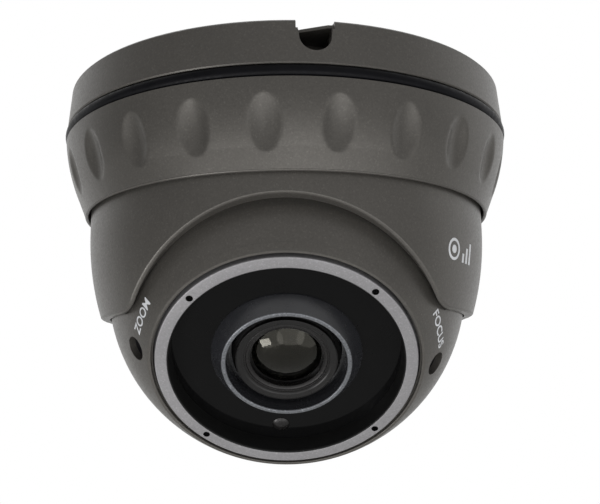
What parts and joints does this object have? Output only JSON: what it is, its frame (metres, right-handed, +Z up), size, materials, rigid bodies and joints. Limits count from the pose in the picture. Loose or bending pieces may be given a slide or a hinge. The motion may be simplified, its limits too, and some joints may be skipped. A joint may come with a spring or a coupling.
{
  "type": "ceiling turret security camera",
  "caption": "Ceiling camera: round base, twist-lock trim ring, panning turret, and a ball that tilts and rolls with an infrared window and a varifocal lens.",
  "frame": {"origin": "centre of the ceiling screws' pitch circle, on the ceiling plane", "axes": "+Z up into the ceiling; the camera hangs towards -Z and its lens faces -Y and down; +X is to the right of someone who looks at the lens"},
  "size_m": [0.131, 0.131, 0.1071],
  "materials": {
    "body_paint": "dark warm grey metallic paint, satin",
    "cradle_paint": "dark grey paint, satin",
    "bezel_plastic": "light grey metallic, satin",
    "gasket_rubber": "smooth black",
    "black_plastic": "fine matt",
    "slip_plastic": "natural, slippery",
    "window_plastic": "polished, dark infrared-pass",
    "hood_plastic": "polished black",
    "frame_metal": "die cast",
    "lens_metal": "black anodised",
    "lens_glass": "coated",
    "filter_glass": "coated",
    "screw_steel": "plain",
    "post_brass": "plain",
    "board": "green solder mask",
    "sensor": "glossy",
    "connector": "natural",
    "emitter": "clear dome",
    "gear_plastic": "natural"
  },
  "bodies": {
    "base": {"mounting_base": "body_paint", "base_gasket": "gasket_rubber"},
    "trim_ring": {"lock_ring": "body_paint"},
    "turret": {"turret_housing": "body_paint", "pan_slip_ring": "slip_plastic", "turret_seal": "gasket_rubber", "seat_ring": "black_plastic", "trunnion_caps": "black_plastic", "ball_retaining_ring": "black_plastic", "retaining_screws": "screw_steel"},
    "cradle": {"tilt_cradle": "cradle_paint"},
    "ball": {"ball_front_shell": "body_paint", "ball_rear_shell": "body_paint", "shell_screws": "screw_steel", "front_bezel": "bezel_plastic", "window_gasket": "gasket_rubber", "front_window": "window_plastic", "lens_hood": "hood_plastic", "hood_seal": "gasket_rubber", "photocell": "sensor", "emitter_board": "board", "infrared_emitters": "emitter", "emitter_board_posts": "post_brass", "emitter_board_screws": "screw_steel", "module_frame": "frame_metal", "frame_screws": "screw_steel", "adjuster_plugs": "gasket_rubber", "lens_barrel": "lens_metal", "front_lens": "lens_glass", "front_lens_ring": "lens_metal", "middle_lens": "lens_glass", "rear_lens": "lens_glass", "lens_holder": "black_plastic", "lens_holder_screws": "screw_steel", "ir_cut_filter": "filter_glass", "image_sensor": "sensor", "sensor_board": "board", "sensor_screws": "screw_steel", "main_board": "board", "main_board_posts": "post_brass", "main_board_screws": "screw_steel", "board_connector": "connector", "cable_gland": "black_plastic", "gland_nut": "black_plastic", "gland_seal": "gasket_rubber"},
    "zoom_driver": {"zoom_adjuster": "gear_plastic"},
    "focus_driver": {"focus_adjuster": "gear_plastic"},
    "zoom_gear": {"zoom_ring": "lens_metal"},
    "focus_gear": {"focus_ring": "lens_metal"}
  },
  "joints": [
    {"name": "trim_ring_twist", "type": "hinge", "parent": "base", "child": "trim_ring", "pos_m": [0, 0, -0.025], "axis": [0, 0, 1], "range_deg": [-30, 0]},
    {"name": "pan", "type": "hinge", "parent": "base", "child": "turret", "pos_m": [0, 0, -0.026], "axis": [0, 0, 1], "range_deg": [-177, 177]},
    {"name": "tilt", "type": "hinge", "parent": "turret", "child": "cradle", "pos_m": [0, 0, -0.0549], "axis": [1, 0, 0], "range_deg": [-44.6, 45.4]},
    {"name": "roll", "type": "hinge", "parent": "cradle", "child": "ball", "pos_m": [0, 0, -0.0549], "axis": [0, -0.712, -0.7022], "range_deg": [-177, 177]},
    {"name": "zoom_ring_turn", "type": "hinge", "parent": "ball", "child": "zoom_gear", "pos_m": [0, 0, -0.0549], "axis": [0, -0.712, -0.7022], "range_deg": [-40, 40]},
    {"name": "focus_ring_turn", "type": "hinge", "parent": "ball", "child": "focus_gear", "pos_m": [0, 0, -0.0549], "axis": [0, -0.712, -0.7022], "range_deg": [-40, 40]},
    {"name": "zoom_adjuster_turn", "type": "hinge", "parent": "ball", "child": "zoom_driver", "pos_m": [0, 0, -0.0549], "axis": [-0.7712, -0.4955, -0.3996], "range_deg": [-160, 160]},
    {"name": "focus_adjuster_turn", "type": "hinge", "parent": "ball", "child": "focus_driver", "pos_m": [0, 0, -0.0549], "axis": [0.7712, -0.4065, -0.4899], "range_deg": [-160, 160]}
  ],
  "couplings": [
    {"joint": "zoom_adjuster_turn", "follows": "zoom_ring_turn", "ratio": -4},
    {"joint": "focus_adjuster_turn", "follows": "focus_ring_turn", "ratio": -4}
  ]
}
